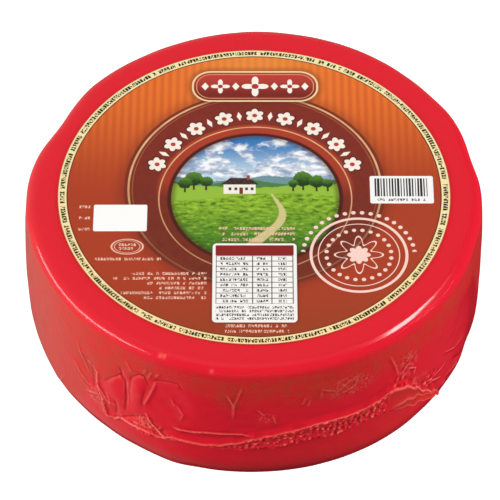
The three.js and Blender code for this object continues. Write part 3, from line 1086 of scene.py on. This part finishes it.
# Floor, light and camera
studio = {
    "floorSize": 6,
    "floorGap": 0.1 * mm,
    "floorColour": (0.4, 0.4, 0.4),
    "floorGlow": 0.9,
    "dim": (0.06, 0.06, 0.063),  # the surroundings at the right front
    "bright": (0.46, 0.44, 0.38),
    "brightAt": (-0.75, 0.5, 0),  # the way from dim to bright
    "brightSpan": (0.0, 0.6),
    "gap": (0.015, 0.012, 0.015),  # a dark gap low down behind the wheel, which darkens its outline
    "gapAt": (0.1, 0.42, -0.9),
    "gapSpan": (0.87, 0.94),
    # Lamps of the kind "mirrored" are seen only in the film's gloss, and the others only light it.
    "lights": {
        "overhead": {"at": (-0.1, -0.15, 1.5), "size": (1.0, 1.0), "power": 8.5},
        "leftFill": {"at": (-1.2, -0.55, 0.5), "size": (0.6, 0.5), "power": 21.5},
        "rightFill": {"at": (1.31, -0.23, 0.5), "size": (0.6, 0.5), "power": 25},
        "frontFill": {"at": (0, -1.3, 0.12), "size": (0.6, 0.2), "power": 3.8},
        "backFill": {"at": (0, 1.4, 0.5), "size": (0.8, 0.5), "power": 11},
        "leftLine": {"at": (-1.145, -0.2, 0.476), "size": (1.35, 0.2), "power": 6.5,
                     "along": (0.18, -0.97, 0.16), "mirrored": True},
        "rightLine": {"at": (0.674, 0.039, 1.058), "size": (0.6, 0.24), "power": 8,
                      "along": (-0.49, 0.85, 0.21), "mirrored": True},
    },
}
aim = {
    "lens": 223.95,
    "sensor": 36,
    "distance": 1.428,
    "elevation": 49.49,
    "right": -1.84 * mm,  # how far the view's centre stands off the wheel's, to the right in the picture
    "up": 4.04 * mm,
}


def makeFloor():
    bpy.ops.mesh.primitive_plane_add(size=studio["floorSize"], location=(0, 0, -studio["floorGap"]))
    floor = bpy.context.object
    floor.name = "floor"
    paint = Recipe("floor_paint")
    glow = {"Emission_Color": (1, 1, 1), "Emission_Strength": studio["floorGlow"]}
    floor.data.materials.append(paint.finish(Base_Color=studio["floorColour"], Roughness=1.0, **glow))
    floor.visible_glossy = False
    floor.visible_diffuse = False


def makeWorld():
    world = bpy.data.worlds.new("studio")
    world.use_nodes = True
    bpy.context.scene.world = world
    nodes, links = world.node_tree.nodes, world.node_tree.links
    around = nodes.new("ShaderNodeTexCoord")

    def share(direction, start, end):  # grows from 0 to 1 towards a direction
        dot = nodes.new("ShaderNodeVectorMath")
        dot.operation = "DOT_PRODUCT"
        dot.inputs[1].default_value = direction
        links.new(around.outputs["Generated"], dot.inputs[0])
        ramp = nodes.new("ShaderNodeMapRange")
        ramp.inputs["From Min"].default_value = start
        ramp.inputs["From Max"].default_value = end
        links.new(dot.outputs["Value"], ramp.inputs["Value"])
        return ramp.outputs[0]

    def blend(amount, low, high):
        mixed = nodes.new("ShaderNodeMix")
        mixed.data_type = "RGBA"
        links.new(amount, mixed.inputs[0])
        for socket, colour in ((mixed.inputs[6], low), (mixed.inputs[7], high)):
            if isinstance(colour, tuple):
                socket.default_value = (*colour, 1)
            else:
                links.new(colour, socket)
        return mixed.outputs[2]

    sweep = blend(share(studio["brightAt"], *studio["brightSpan"]), studio["dim"], studio["bright"])
    whole = blend(share(studio["gapAt"], *studio["gapSpan"]), sweep, studio["gap"])
    links.new(whole, nodes["Background"].inputs["Color"])


def makeLight(name, setup):
    lamp = bpy.data.lights.new(name, "AREA")
    lamp.shape = "RECTANGLE"
    lamp.size, lamp.size_y = setup["size"]
    lamp.energy = setup["power"]
    holder = bpy.data.objects.new(name, lamp)
    bpy.context.scene.collection.objects.link(holder)
    holder.location = setup["at"]
    away = (holder.location - Vector((0, 0, wheel["height"]))).normalized()
    across = away.cross(Vector(setup.get("along", (1, 0, 0)))).normalized()
    holder.rotation_euler = Matrix((across.cross(away), across, away)).transposed().to_euler()
    holder.visible_camera = False
    holder.visible_glossy = setup.get("mirrored", False)
    holder.visible_diffuse = not holder.visible_glossy


def makeCamera():
    lens = bpy.data.cameras.new("camera")
    lens.lens = aim["lens"]
    lens.sensor_width = aim["sensor"]
    camera = bpy.data.objects.new("camera", lens)
    bpy.context.scene.collection.objects.link(camera)
    tilt = math.radians(aim["elevation"])
    back = Vector((0, -math.cos(tilt), math.sin(tilt)))
    up = Vector((0, math.sin(tilt), math.cos(tilt)))
    middle = Vector((aim["right"], 0, wheel["height"] / 2)) + up * aim["up"]
    camera.location = middle + back * aim["distance"]
    camera.rotation_euler = (math.pi / 2 - tilt, 0, 0)
    bpy.context.scene.camera = camera


makeFloor()
makeWorld()
for name, setup in studio["lights"].items():
    makeLight(name, setup)
makeCamera()
bpy.context.scene.view_settings.view_transform = "Standard"
print("studio set")
